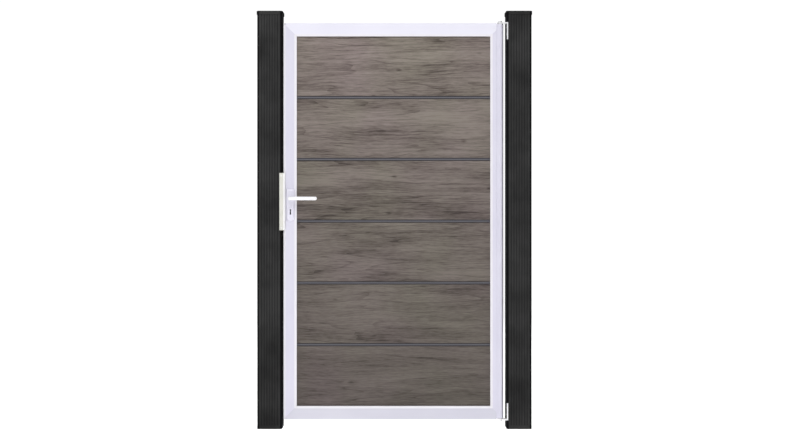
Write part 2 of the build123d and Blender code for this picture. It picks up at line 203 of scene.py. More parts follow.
def build_post(name):
    """A ribbed post tube the size of its CAD node."""
    low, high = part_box(name)
    width = high[0] - low[0]
    middle_x = (low[0] + high[0]) / 2
    bpy.ops.object.select_all(action="DESELECT")
    bpy.ops.mesh.primitive_plane_add(size=width, location=(middle_x, 0, low[2]))
    post = start_piece(name + "_tube")
    bpy.ops.object.transform_apply(location=True, rotation=True, scale=True)
    bpy.ops.object.mode_set(mode="EDIT")
    bpy.ops.mesh.select_mode(type="VERT")
    bpy.ops.mesh.select_all(action="SELECT")
    bpy.ops.mesh.bevel(affect="VERTICES", offset=post_edge_radius, segments=8)
    flat = width - 2 * post_edge_radius
    pick_edges(post, lambda a, b: (a - b).length > flat * 0.9)
    bpy.ops.mesh.subdivide(number_cuts=rib_strips - 1)
    bpy.ops.mesh.select_all(action="SELECT")
    bpy.ops.mesh.extrude_region_move(TRANSFORM_OT_translate={"value": (0, 0, high[2] - low[2])})
    bpy.ops.mesh.select_all(action="SELECT")
    bpy.ops.mesh.normals_make_consistent(inside=False)
    strip = flat / rib_strips

    def in_groove(center, normal):
        if abs(normal.z) > 0.5 or max(abs(normal.x), abs(normal.y)) < 0.999:
            return False
        across = center.y if abs(normal.x) > 0.5 else center.x - middle_x
        return int((across + flat / 2) / strip) % 2 == 1

    pick_faces(post, in_groove)
    bpy.ops.mesh.inset(thickness=rib_slope, depth=-rib_depth, use_individual=True)
    bpy.ops.object.mode_set(mode="OBJECT")
    chamber_low = [v + post_wall for v in low[:2]] + [low[2] - cutter_overrun]
    chamber_high = [v - post_wall for v in high[:2]] + [high[2] + cutter_overrun]
    cut(post, add_block("chamber", chamber_low, chamber_high))
    return post


# Wood-plastic composite, extruded and brushed: wood flour in a coloured plastic. To the
# eye it is matt and nearly black, with fine grain along its length and a faint speckle.
composite, tree, shader = new_material("brushed anthracite composite", {
    "Roughness": 0.85,
    "Specular IOR Level": 0.04,
    "IOR": 1.5,
})
place = add_node(tree, "ShaderNodeTexCoord")
grain_frame = add_node(
    tree,
    "ShaderNodeMapping",
    inputs={"Scale": (420, 420, 9)},
    links={"Vector": place.outputs["Object"]},
)
grain = add_node(
    tree,
    "ShaderNodeTexNoise",
    inputs={"Scale": 1.0, "Detail": 4.0, "Roughness": 0.6},
    links={"Vector": grain_frame.outputs["Vector"]},
)
cloud = add_node(
    tree,
    "ShaderNodeTexNoise",
    inputs={"Scale": 7.0, "Detail": 3.0},
    links={"Vector": place.outputs["Object"]},
)
tone = add_node(
    tree,
    "ShaderNodeMath",
    {"operation": "MULTIPLY_ADD"},
    {1: 0.65},
    {0: grain.outputs["Fac"], 2: cloud.outputs["Fac"]},
)
ramp = add_node(tree, "ShaderNodeValToRGB", links={"Fac": tone.outputs["Value"]})
ramp.color_ramp.elements[0].position = 0.55
ramp.color_ramp.elements[0].color = srgb("#232323")
ramp.color_ramp.elements[1].position = 1.0
ramp.color_ramp.elements[1].color = srgb("#353535")
# Painted shade: the sides, the rounded edges and, for the most part, the grooves are coloured
# nearly black for the shade that falls there; only the ribs of the front and the back keep the grain's
# tone.
unshaded_face_half_width = 0.0465
side_shade_fade = 0.003
parts = add_node(tree, "ShaderNodeSeparateXYZ", links={"Vector": place.outputs["Object"]})
span_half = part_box("latch_post")[0][0] / 2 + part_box("hinge_post")[1][0] / 2
from_middle = add_node(
    tree, "ShaderNodeMath", {"operation": "SUBTRACT"}, {1: span_half}, {0: parts.outputs["X"]}
)
either_post = add_node(
    tree, "ShaderNodeMath", {"operation": "ABSOLUTE"}, links={0: from_middle.outputs["Value"]}
)
from_axis = add_node(
    tree, "ShaderNodeMath", {"operation": "ADD"}, {1: span_half}, {0: either_post.outputs["Value"]}
)
across_x = add_node(
    tree, "ShaderNodeMath", {"operation": "ABSOLUTE"}, links={0: from_axis.outputs["Value"]}
)
# Painted shade on the posts' sides and rounded edges, away from the front and back faces.
painted_side_shade = add_node(
    tree,
    "ShaderNodeMapRange",
    inputs={
        "From Min": unshaded_face_half_width,
        "From Max": unshaded_face_half_width + side_shade_fade,
        "To Min": 0.0,
        "To Max": 1.0,
    },
    links={"Value": across_x.outputs["Value"]},
)
across_y = add_node(tree, "ShaderNodeMath", {"operation": "ABSOLUTE"}, links={0: parts.outputs["Y"]})
face_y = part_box("hinge_post")[1][1]
# Painted shade in the grooves between the front and back ribs.
painted_groove_shade = add_node(
    tree,
    "ShaderNodeMapRange",
    inputs={
        "From Min": face_y - rib_depth * 0.9,
        "From Max": face_y - rib_depth * 0.2,
        "To Min": 0.42,
        "To Max": 0.0,
    },
    links={"Value": across_y.outputs["Value"]},
)
painted_shade_share = add_node(
    tree,
    "ShaderNodeMath",
    {"operation": "MAXIMUM"},
    links={0: painted_side_shade.outputs["Result"], 1: painted_groove_shade.outputs["Result"]},
)
# The painted shade's colour, #0f0f11, laid over the grain.
coloured = add_node(
    tree,
    "ShaderNodeMix",
    {"data_type": "RGBA"},
    {"B": srgb("#0f0f11")},
    {"Factor": painted_shade_share.outputs["Value"], "A": ramp.outputs["Color"]},
)
tree.links.new(coloured.outputs[2], shader.inputs["Base Color"])
fuzz = add_node(
    tree,
    "ShaderNodeBump",
    inputs={"Strength": 0.25, "Distance": 0.0003},
    links={"Height": grain.outputs["Fac"]},
)
tree.links.new(fuzz.outputs["Normal"], shader.inputs["Normal"])

hinge_tube = build_post("hinge_post")
wall_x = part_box("hinge_post")[0][0]
bracket_thickness = 0.006
for side in ("top", "bottom"):
    low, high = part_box(side + "_hinge_bracket")
    leg_slot = add_block("leg_slot", (high[0] - bracket_thickness, low[1], low[2]), high)
    cut(hinge_tube, leg_slot)
    arm_low_z = high[2] - bracket_thickness if side == "top" else low[2]
    arm_notch = add_block(
        "arm_notch",
        (wall_x - cutter_overrun, low[1], arm_low_z),
        (high[0], high[1], arm_low_z + bracket_thickness),
    )
    cut(hinge_tube, arm_notch)
sawn_edge = 0.0002
soften(hinge_tube, sawn_edge, 1, 60)
fit_out(hinge_tube, composite, "posts", "hinge_post")

latch_tube = build_post("latch_post")
strike_low, strike_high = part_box("strike_plate")
post_face_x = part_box("latch_post")[1][0]
post_front_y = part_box("latch_post")[0][1]
web_thickness = 0.003
pocket_low = (post_face_x - web_thickness, post_front_y - cutter_overrun, strike_low[2])
pocket_high = (post_face_x + cutter_overrun, strike_high[1], strike_high[2])
cut(latch_tube, add_block("pocket", pocket_low, pocket_high))
keep_y = (-0.037, -0.021)
latch_z = (1.051, 1.077)
bolt_z = (0.986, 1.024)
hole_reach = 0.03


def cut_keeps(piece):
    """Cut the two holes that the latch and the dead bolt enter."""
    for low_z, high_z in (latch_z, bolt_z):
        hole_low = (post_face_x - hole_reach, keep_y[0], low_z)
        hole_high = (post_face_x + cutter_overrun, keep_y[1], high_z)
        cut(piece, add_block("hole", hole_low, hole_high))


cut_keeps(latch_tube)
soften(latch_tube, sawn_edge, 1, 60)
fit_out(latch_tube, composite, "posts", "latch_post")

for name in ("hinge_post_cap", "hinge_post_foot", "latch_post_cap", "latch_post_foot"):
    dress(name, composite)


# ---- strike -----------------------------------------------------------------------------
# A powder-coated steel angle on the latch post: a flange that stands in front of the leaf's
# lip, with a rounded stop bead along its edge, and a web let flush into the post.

bead_width = 0.0075
bead_proud = 0.0006
bead_round = 0.0012
flange_thickness = 0.003
web_lap = 0.0005
strike_edge = 0.0004
flange_high = (strike_high[0] - bead_width, strike_low[1] + flange_thickness, strike_high[2])
strike = add_block(
    "strike_angle", (strike_low[0], strike_low[1] + bead_proud, strike_low[2]), flange_high
)
bead_low = (flange_high[0], strike_low[1], strike_low[2])
bead_high = (strike_high[0], flange_high[1], strike_high[2])
bead = add_block("strike_bead", bead_low, bead_high)
soften(bead, bead_round, 3)
web_low = (post_face_x - web_thickness, flange_high[1] - web_lap, strike_low[2])
web_high = (post_face_x, strike_high[1], strike_high[2])
cut(strike, add_block("web", web_low, web_high), "UNION")
cut_keeps(strike)
soften(strike, strike_edge, 2)

def powder_coat(
    name,
    roughness,
    peel_scale,
    peel_strength,
    wash_scale,
    wash_detail,
    wash_low,
    dark,
    light,
):
    """Powder coat in a colour that drifts from dark to light, with its orange peel."""
    coat, tree, shader = new_material(name, {"Roughness": roughness, "IOR": 1.5})
    place = add_node(tree, "ShaderNodeTexCoord")
    peel = add_node(
        tree,
        "ShaderNodeTexNoise",
        inputs={"Scale": peel_scale, "Detail": 2.0},
        links={"Vector": place.outputs["Object"]},
    )
    wash = add_node(
        tree,
        "ShaderNodeTexNoise",
        inputs={"Scale": wash_scale, "Detail": wash_detail},
        links={"Vector": place.outputs["Object"]},
    )
    ramp = add_node(tree, "ShaderNodeValToRGB", links={"Fac": wash.outputs["Fac"]})
    ramp.color_ramp.elements[0].position = wash_low
    ramp.color_ramp.elements[0].color = srgb(dark)
    ramp.color_ramp.elements[1].position = 1 - wash_low
    ramp.color_ramp.elements[1].color = srgb(light)
    tree.links.new(ramp.outputs["Color"], shader.inputs["Base Color"])
    skin = add_node(
        tree,
        "ShaderNodeBump",
        inputs={"Strength": peel_strength, "Distance": 0.0002},
        links={"Height": peel.outputs["Fac"]},
    )
    tree.links.new(skin.outputs["Normal"], shader.inputs["Normal"])
    return coat


# Powder coat on steel: a baked plastic film. To the eye it is cream, satin, with a faint
# orange peel and slightly uneven in tone. The stop bead and the levers have it in white.
cream_coat = powder_coat("cream powder coat", 0.38, 380.0, 0.06, 24.0, 4.0, 0.3, "#c0c0b8", "#c9c8c1")
white_coat = powder_coat("white powder coat", 0.32, 420.0, 0.05, 18.0, 3.0, 0.25, "#dfdfe2", "#e6e6e7")
fit_out(strike, cream_coat, "posts", "strike_plate")
fit_out(bead, white_coat, "posts", None)


# ---- screws -----------------------------------------------------------------------------
# Countersunk stainless screws with a cross recess, driven flush. They hold the strike, the
# hinge brackets' legs and the lock's forend.

screw_head_depth = 0.003
recess_depth = 0.0012
recess_turn = 20


def add_screw(name, place, facing, radius, body):
    """A countersunk head whose flat lies at a place, facing along an axis."""
    bpy.ops.object.select_all(action="DESELECT")
    bpy.ops.mesh.primitive_cylinder_add(
        vertices=32, radius=radius, depth=screw_head_depth, location=(0, 0, -screw_head_depth / 2)
    )
    head = start_piece(name)
    bpy.ops.object.transform_apply(location=True, rotation=True, scale=True)
    pick_faces(head, lambda center, normal: normal.z < -0.9)
    bpy.ops.transform.resize(value=(0.5, 0.5, 1), center_override=(0, 0, 0))
    pick_faces(head, lambda center, normal: normal.z > 0.9)
    bpy.ops.mesh.bevel(affect="EDGES", offset=radius * 0.08, segments=2)
    bpy.ops.object.mode_set(mode="OBJECT")
    for turn in (0, 90):
        arm = add_block(
            "recess",
            (-radius * 0.62, -radius * 0.11, -recess_depth),
            (radius * 0.62, radius * 0.11, recess_depth),
        )
        arm.rotation_euler = (0, 0, math.radians(turn + recess_turn))
        bpy.ops.object.transform_apply(location=False, rotation=True, scale=False)
        cut(head, arm)
    head.rotation_euler = Vector(facing).to_track_quat("Z", "Y").to_euler()
    head.location = place
    take(head)
    bpy.ops.object.transform_apply(location=True, rotation=True, scale=False)
    bpy.ops.object.shade_smooth_by_angle(angle=math.radians(35))
    fit_out(head, stainless, body, None)


# Stainless steel, brushed satin: a bright grey metal with fine scratches that spread its
# reflections, and a slightly uneven roughness.
stainless, tree, shader = new_material(
    "satin stainless steel", {"Metallic": 1.0, "Base Color": srgb("#e2e2e4")}
)
place = add_node(tree, "ShaderNodeTexCoord")
scratch_frame = add_node(
    tree,
    "ShaderNodeMapping",
    inputs={"Scale": (90, 900, 900)},
    links={"Vector": place.outputs["Object"]},
)
scratch = add_node(
    tree,
    "ShaderNodeTexNoise",
    inputs={"Scale": 1.0, "Detail": 5.0},
    links={"Vector": scratch_frame.outputs["Vector"]},
)
spread = add_node(
    tree,
    "ShaderNodeMapRange",
    inputs={"From Min": 0.3, "From Max": 0.7, "To Min": 0.3, "To Max": 0.44},
    links={"Value": scratch.outputs["Fac"]},
)
tree.links.new(spread.outputs["Result"], shader.inputs["Roughness"])
lines = add_node(
    tree,
    "ShaderNodeBump",
    inputs={"Strength": 0.12, "Distance": 0.0002},
    links={"Height": scratch.outputs["Fac"]},
)
tree.links.new(lines.outputs["Normal"], shader.inputs["Normal"])

screw_proud = 0.0001
strike_screw_radius = 0.0033
strike_screw_inset = 0.012
strike_screw_shift = 0.003
strike_screw_x = (strike_low[0] + post_face_x) / 2 + strike_screw_shift
strike_screw_y = strike_low[1] + bead_proud - screw_proud
for tag, screw_z in (
    ("low", strike_low[2] + strike_screw_inset), ("high", strike_high[2] - strike_screw_inset)
):
    add_screw(
        "strike_screw_" + tag,
        (strike_screw_x, strike_screw_y, screw_z),
        (0, -1, 0),
        strike_screw_radius,
        "posts",
    )


# ---- hinge brackets and pins ------------------------------------------------------------
# Each bracket is bent from 6 mm stainless bar: an arm over the end of the leaf's hinge tube
# and a leg in its slot, screwed through the post's skin. A domed pin drops through the arm.

def copy_node(name, new_name):
    """A copy of a CAD node's mesh, merged into one skin with flat faces whole."""
    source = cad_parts[name]
    piece = bpy.data.objects.new(new_name, source.data.copy())
    bpy.context.scene.collection.objects.link(piece)
    piece.data.name = new_name
    take(piece)
    bpy.ops.object.mode_set(mode="EDIT")
    bpy.ops.mesh.select_all(action="SELECT")
    bpy.ops.mesh.remove_doubles(threshold=0.00001)
    bpy.ops.mesh.dissolve_limited(angle_limit=math.radians(0.5))
    bpy.ops.object.mode_set(mode="OBJECT")
    return piece


leg_screw_radius = 0.0042
bracket_edge = 0.0007
for side in ("top", "bottom"):
    low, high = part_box(side + "_hinge_bracket")
    bracket = copy_node(side + "_hinge_bracket", side + "_hinge_strap")
    soften(bracket, bracket_edge, 2)
    fit_out(bracket, stainless, "posts", side + "_hinge_bracket")
    leg_y = (low[1] + high[1]) / 2
    for tag, share in (("low", 0.3), ("high", 0.7)):
        screw_z = low[2] + share * (high[2] - low[2])
        add_screw(
            side + "_leg_screw_" + tag,
            (wall_x - screw_proud, leg_y, screw_z),
            (-1, 0, 0),
            leg_screw_radius,
            "posts",
        )
    pin = copy_node(side + "_hinge_pin", side + "_hinge_pivot")
    bpy.ops.object.shade_smooth_by_angle(angle=math.radians(35))
    fit_out(pin, stainless, "posts", side + "_hinge_pin")


# ---- leaf frame -------------------------------------------------------------------------
# Four hollow aluminium extrusions, mitred and pinned at the corners. The stiles and rails
# hold the boards in a groove; the latch stile has a rebated lip and the hinge stile carries
# a round tube along its outer side. Every extruded edge is slightly rounded.

inner_border = 0.011
lip_border = 0.0105
border_fade = 0.001
opening_low, opening_high = (
    (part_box("latch_stile")[1][0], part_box("bottom_rail")[1][2]),
    (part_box("hinge_stile")[0][0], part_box("top_rail")[0][2]),
)


def finish_aluminium(name, along, dark, light):
    """Silver anodised aluminium with its die lines along one axis, and a painted highlight round the
    boards and along the closing lip.
    """
    metal, tree, shader = new_material(name, {"Metallic": 0.55})
    place = add_node(tree, "ShaderNodeTexCoord")
    scale = [2.0 if axis == along else 700.0 for axis in "XYZ"]
    line_frame = add_node(
        tree, "ShaderNodeMapping", inputs={"Scale": scale}, links={"Vector": place.outputs["Object"]}
    )
    lines = add_node(
        tree,
        "ShaderNodeTexNoise",
        inputs={"Scale": 1.0, "Detail": 4.0, "Roughness": 0.55},
        links={"Vector": line_frame.outputs["Vector"]},
    )
    etch = add_node(
        tree,
        "ShaderNodeTexNoise",
        inputs={"Scale": 900.0, "Detail": 2.0},
        links={"Vector": place.outputs["Object"]},
    )
    bath = add_node(
        tree,
        "ShaderNodeTexNoise",
        inputs={"Scale": 3.0, "Detail": 2.0},
        links={"Vector": place.outputs["Object"]},
    )
    ramp = add_node(tree, "ShaderNodeValToRGB", links={"Fac": bath.outputs["Fac"]})
    ramp.color_ramp.elements[0].position = 0.3
    ramp.color_ramp.elements[0].color = srgb(dark)
    ramp.color_ramp.elements[1].position = 0.7
    ramp.color_ramp.elements[1].color = srgb(light)
    # Painted highlight: a brighter band round the boards and along the closing lip, for the light that
    # the frame's inner edges catch.
    parts = add_node(tree, "ShaderNodeSeparateXYZ", links={"Vector": place.outputs["Object"]})
    beyond = []
    for axis, low, high in (
        ("X", opening_low[0], opening_high[0]), ("Z", opening_low[1], opening_high[1])
    ):
        offset = add_node(
            tree,
            "ShaderNodeMath",
            {"operation": "SUBTRACT"},
            {1: (low + high) / 2},
            {0: parts.outputs[axis]},
        )
        reach = add_node(
            tree, "ShaderNodeMath", {"operation": "ABSOLUTE"}, links={0: offset.outputs["Value"]}
        )
        beyond.append(
            add_node(
                tree,
                "ShaderNodeMath",
                {"operation": "SUBTRACT"},
                {1: (high - low) / 2},
                {0: reach.outputs["Value"]},
            ),
        )
    from_boards = add_node(
        tree,
        "ShaderNodeMath",
        {"operation": "MAXIMUM"},
        links={0: beyond[0].outputs["Value"], 1: beyond[1].outputs["Value"]},
    )
    border = add_node(
        tree,
        "ShaderNodeMapRange",
        inputs={
            "From Min": inner_border - border_fade,
            "From Max": inner_border,
            "To Min": 1.0,
            "To Max": 0.0,
        },
        links={"Value": from_boards.outputs["Value"]},
    )
    lip_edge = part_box("latch_stile")[0][0] + lip_border
    lip = add_node(
        tree,
        "ShaderNodeMapRange",
        inputs={"From Min": lip_edge - border_fade, "From Max": lip_edge, "To Min": 1.0, "To Max": 0.0},
        links={"Value": parts.outputs["X"]},
    )
    painted_edge_highlight = add_node(
        tree,
        "ShaderNodeMath",
        {"operation": "MAXIMUM"},
        links={0: border.outputs["Result"], 1: lip.outputs["Result"]},
    )
    # The painted highlight's colour, #dfdde3, over the border and the lip.
    colour_with_painted_highlight = add_node(
        tree,
        "ShaderNodeMix",
        {"data_type": "RGBA"},
        {"B": srgb("#dfdde3")},
        {"Factor": painted_edge_highlight.outputs["Value"], "A": ramp.outputs["Color"]},
    )
    tree.links.new(colour_with_painted_highlight.outputs[2], shader.inputs["Base Color"])
    spread = add_node(
        tree,
        "ShaderNodeMapRange",
        inputs={"From Min": 0.3, "From Max": 0.7, "To Min": 0.5, "To Max": 0.6},
        links={"Value": lines.outputs["Fac"]},
    )
    tree.links.new(spread.outputs["Result"], shader.inputs["Roughness"])
    relief = add_node(
        tree,
        "ShaderNodeMath",
        {"operation": "MULTIPLY_ADD"},
        {1: 0.4},
        {0: etch.outputs["Fac"], 2: lines.outputs["Fac"]},
    )
    surface = add_node(
        tree,
        "ShaderNodeBump",
        inputs={"Strength": 0.05, "Distance": 0.0002},
        links={"Height": relief.outputs["Value"]},
    )
    tree.links.new(surface.outputs["Normal"], shader.inputs["Normal"])
    return metal


# Aluminium, etched and anodised silver: a satin grey-white metal with a cool cast, fine die
# lines along each member and no sharp reflections. The rails differ a little from the stiles:
# the top rail is painted lighter, as painted light from above, and the foot rail darker, as painted
# shade below.
stile_metal = finish_aluminium("silver anodised aluminium, upright", "Z", "#cdcbda", "#d4d2df")
# Painted light: the top rail's colours are lighter than the stiles'.
top_rail_metal_painted_light = finish_aluminium("silver anodised aluminium, top, painted light", "X", "#dad9e5", "#e1e0ea")
# Painted shade: the foot rail's colours are darker than the stiles'.
foot_rail_metal_painted_shade = finish_aluminium("silver anodised aluminium, foot, painted shade", "X", "#c6c5d1", "#cdccd6")
frame_edge = 0.0008
for name, new_name, metal in (
    ("latch_stile", "latch_stile_profile", stile_metal),
    ("hinge_stile", "hinge_stile_profile", stile_metal),
    ("top_rail", "top_rail_profile", top_rail_metal_painted_light),
    ("bottom_rail", "bottom_rail_profile", foot_rail_metal_painted_shade),
):
    member = copy_node(name, new_name)
    soften(member, frame_edge, 2)
    fit_out(member, metal, "leaf", name)


# ---- boards -----------------------------------------------------------------------------
# Six infill boards of hollow wood-plastic composite, tongued and grooved together. Both
# faces carry a printed, lightly embossed oak foil that stops at the joints, where the bead
# of bare grey core shows between two shadow lines.

# Printed oak foil over composite: a matt grey-brown film with long level grain, cloudy
# darker bands, fine pores and a few small knots, all different on each board.
joint_below_tongue = 0.0125
joint_pitch = 0.28125
foil_edge_depth = 0.0013
joint_bead_depth = 0.003
first_joint_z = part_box("board_1")[1][2] - joint_below_tongue
board_mid_y = (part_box("board_1")[0][1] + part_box("board_1")[1][1]) / 2
board_half = (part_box("board_1")[1][1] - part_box("board_1")[0][1]) / 2

oak_foil, tree, shader = new_material(
    "grey oak foil on composite", {"Specular IOR Level": 0.25, "IOR": 1.5}
)
place = add_node(tree, "ShaderNodeTexCoord")
parts = add_node(tree, "ShaderNodeSeparateXYZ", links={"Vector": place.outputs["Object"]})
risen = add_node(
    tree,
    "ShaderNodeMath",
    {"operation": "SUBTRACT"},
    {1: first_joint_z - joint_pitch},
    {0: parts.outputs["Z"]},
)
counted = add_node(
    tree, "ShaderNodeMath", {"operation": "DIVIDE"}, {1: joint_pitch}, {0: risen.outputs["Value"]}
)
board_number = add_node(
    tree, "ShaderNodeMath", {"operation": "FLOOR"}, links={0: counted.outputs["Value"]}
)
shift_x = add_node(
    tree, "ShaderNodeMath", {"operation": "MULTIPLY"}, {1: 3.37}, {0: board_number.outputs["Value"]}
)
shift_y = add_node(
    tree, "ShaderNodeMath", {"operation": "MULTIPLY"}, {1: 1.91}, {0: board_number.outputs["Value"]}
)
side = add_node(
    tree, "ShaderNodeMath", {"operation": "GREATER_THAN"}, {1: board_mid_y}, {0: parts.outputs["Y"]}
)
side_shift = add_node(
    tree,
    "ShaderNodeMath",
    {"operation": "MULTIPLY_ADD"},
    {1: 7.7},
    {0: side.outputs["Value"], 2: shift_y.outputs["Value"]},
)
sheet_x = add_node(
    tree,
    "ShaderNodeMath",
    {"operation": "ADD"},
    links={0: parts.outputs["X"], 1: shift_x.outputs["Value"]},
)
sheet = add_node(
    tree,
    "ShaderNodeCombineXYZ",
    links={"X": sheet_x.outputs["Value"], "Y": side_shift.outputs["Value"], "Z": parts.outputs["Z"]},
)

# The grain wanders up and down by a few millimetres along the board.
wander = add_node(
    tree,
    "ShaderNodeTexNoise",
    inputs={"Scale": 3.2, "Detail": 1.0},
    links={"Vector": sheet.outputs["Vector"]},
)
lift = add_node(
    tree,
    "ShaderNodeMath",
    {"operation": "MULTIPLY_ADD"},
    {1: 0.03},
    {0: wander.outputs["Fac"], 2: parts.outputs["Z"]},
)
bent = add_node(
    tree,
    "ShaderNodeCombineXYZ",
    links={"X": sheet_x.outputs["Value"], "Y": side_shift.outputs["Value"], "Z": lift.outputs["Value"]},
)

# Cloudy bands about 60 mm high and 300 mm long.
band_frame = add_node(
    tree, "ShaderNodeMapping", inputs={"Scale": (2.4, 1, 17)}, links={"Vector": bent.outputs["Vector"]}
)
bands = add_node(
    tree,
    "ShaderNodeTexNoise",
    inputs={"Scale": 1.0, "Detail": 2.0, "Roughness": 0.5},
    links={"Vector": band_frame.outputs["Vector"]},
)
# Growth rings cut lengthwise: contour lines of one slow swell, 10 to 30 mm apart, that close
# into long loops here and there.
ring_frame = add_node(
    tree, "ShaderNodeMapping", inputs={"Scale": (0.7, 1, 9)}, links={"Vector": bent.outputs["Vector"]}
)
swell = add_node(
    tree,
    "ShaderNodeTexNoise",
    inputs={"Scale": 1.0, "Detail": 2.0, "Roughness": 0.4},
    links={"Vector": ring_frame.outputs["Vector"]},
)
ring_count = add_node(
    tree, "ShaderNodeMath", {"operation": "MULTIPLY"}, {1: 11.0}, {0: swell.outputs["Fac"]}
)
ring_part = add_node(
    tree, "ShaderNodeMath", {"operation": "FRACT"}, links={0: ring_count.outputs["Value"]}
)
ring_dark = add_node(
    tree,
    "ShaderNodeMapRange",
    inputs={"From Min": 0.0, "From Max": 0.22, "To Min": 0.26, "To Max": 0.0},
    links={"Value": ring_part.outputs["Value"]},
)
# Streaks of grain about 5 mm high.
streak_frame = add_node(
    tree, "ShaderNodeMapping", inputs={"Scale": (6, 1, 230)}, links={"Vector": bent.outputs["Vector"]}
)
streaks = add_node(
    tree,
    "ShaderNodeTexNoise",
    inputs={"Scale": 1.0, "Detail": 4.0, "Roughness": 0.6},
    links={"Vector": streak_frame.outputs["Vector"]},
)
# Pores under a millimetre high, drawn at 3 mm so that they show.
pore_frame = add_node(
    tree, "ShaderNodeMapping", inputs={"Scale": (26, 1, 300)}, links={"Vector": bent.outputs["Vector"]}
)
pores = add_node(
    tree,
    "ShaderNodeTexNoise",
    inputs={"Scale": 1.0, "Detail": 3.0, "Roughness": 0.6},
    links={"Vector": pore_frame.outputs["Vector"]},
)
# Small knots, a few on each board, each a dark spot drawn out along the grain.
knot_frame = add_node(
    tree, "ShaderNodeMapping", inputs={"Scale": (5.0, 1, 11)}, links={"Vector": bent.outputs["Vector"]}
)
knots = add_node(
    tree,
    "ShaderNodeTexVoronoi",
    {"feature": "F1"},
    {"Scale": 1.0, "Randomness": 1.0},
    {"Vector": knot_frame.outputs["Vector"]},
)
knot_dark = add_node(
    tree,
    "ShaderNodeMapRange",
    inputs={"From Min": 0.02, "From Max": 0.09, "To Min": 0.45, "To Max": 0.0},
    links={"Value": knots.outputs["Distance"]},
)

cloud_share = add_node(
    tree,
    "ShaderNodeMath",
    {"operation": "MULTIPLY_ADD"},
    {1: 1.25, 2: -0.125},
    {0: bands.outputs["Fac"]},
)
streaked = add_node(
    tree,
    "ShaderNodeMath",
    {"operation": "MULTIPLY_ADD"},
    {1: 1.1},
    {0: streaks.outputs["Fac"], 2: cloud_share.outputs["Value"]},
)
pored = add_node(
    tree,
    "ShaderNodeMath",
    {"operation": "MULTIPLY_ADD"},
    {1: 1.15},
    {0: pores.outputs["Fac"], 2: streaked.outputs["Value"]},
)
knotted = add_node(
    tree,
    "ShaderNodeMath",
    {"operation": "SUBTRACT"},
    links={0: pored.outputs["Value"], 1: knot_dark.outputs["Result"]},
)
ringed = add_node(
    tree,
    "ShaderNodeMath",
    {"operation": "SUBTRACT"},
    links={0: knotted.outputs["Value"], 1: ring_dark.outputs["Result"]},
)
figure = add_node(
    tree,
    "ShaderNodeMapRange",
    inputs={"From Min": 0.93, "From Max": 2.13, "To Min": 0.0, "To Max": 1.0},
    links={"Value": ringed.outputs["Value"]},
)
oak = add_node(tree, "ShaderNodeValToRGB", links={"Fac": figure.outputs["Result"]})
oak.color_ramp.elements[0].position = 0.12
oak.color_ramp.elements[0].color = srgb("#473f3b")
oak.color_ramp.elements[1].position = 0.85
oak.color_ramp.elements[1].color = srgb("#8f867e")
for position, colour in ((0.33, "#665d57"), (0.5, "#786f68"), (0.66, "#837a73")):
    stop = oak.color_ramp.elements.new(position)
    stop.color = srgb(colour)

# The foil's print drifts between a greener and a redder grey.
tint_noise = add_node(
    tree,
    "ShaderNodeTexNoise",
    inputs={"Scale": 3.0, "Detail": 2.0},
    links={"Vector": bent.outputs["Vector"]},
)
tint = add_node(tree, "ShaderNodeValToRGB", links={"Fac": tint_noise.outputs["Fac"]})
tint.color_ramp.elements[0].position = 0.3
tint.color_ramp.elements[0].color = (0.965, 1.0, 0.95, 1)
tint.color_ramp.elements[1].position = 0.7
tint.color_ramp.elements[1].color = (1.0, 0.955, 1.03, 1)
tinted = add_node(
    tree,
    "ShaderNodeMix",
    {"data_type": "RGBA", "blend_type": "MULTIPLY"},
    {"Factor": 1.0},
    {"A": oak.outputs["Color"], "B": tint.outputs["Color"]},
)

# Painted shade: the print is darkened a little from top to foot, for light from above that falls off
# down the leaf.
leaf_low_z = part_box("board_1")[0][2]
leaf_high_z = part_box("board_6")[1][2]
painted_foot_shade = add_node(
    tree,
    "ShaderNodeMapRange",
    inputs={"From Min": leaf_low_z, "From Max": leaf_high_z, "To Min": 0.445, "To Max": 0.75},
    links={"Value": parts.outputs["Z"]},
)
# The painted shade scales the print's value, darkest at the foot.
print_with_painted_shade = add_node(
    tree,
    "ShaderNodeHueSaturation",
    links={"Color": tinted.outputs[2], "Value": painted_foot_shade.outputs["Result"]},
)

# Below the face, in the joints, the bare core shows: a plain blue-grey on the bead, with painted shade,
# a darker grey, on the faces deeper in the grooves either side of it.
depth = add_node(
    tree, "ShaderNodeMath", {"operation": "SUBTRACT"}, {1: board_mid_y}, {0: parts.outputs["Y"]}
)
depth_from_mid = add_node(
    tree, "ShaderNodeMath", {"operation": "ABSOLUTE"}, links={0: depth.outputs["Value"]}
)
on_face = add_node(
    tree,
    "ShaderNodeMath",
    {"operation": "GREATER_THAN"},
    {1: board_half - foil_edge_depth},
    {0: depth_from_mid.outputs["Value"]},
)
on_bead = add_node(
    tree,
    "ShaderNodeMath",
    {"operation": "GREATER_THAN"},
    {1: board_half - joint_bead_depth},
    {0: depth_from_mid.outputs["Value"]},
)
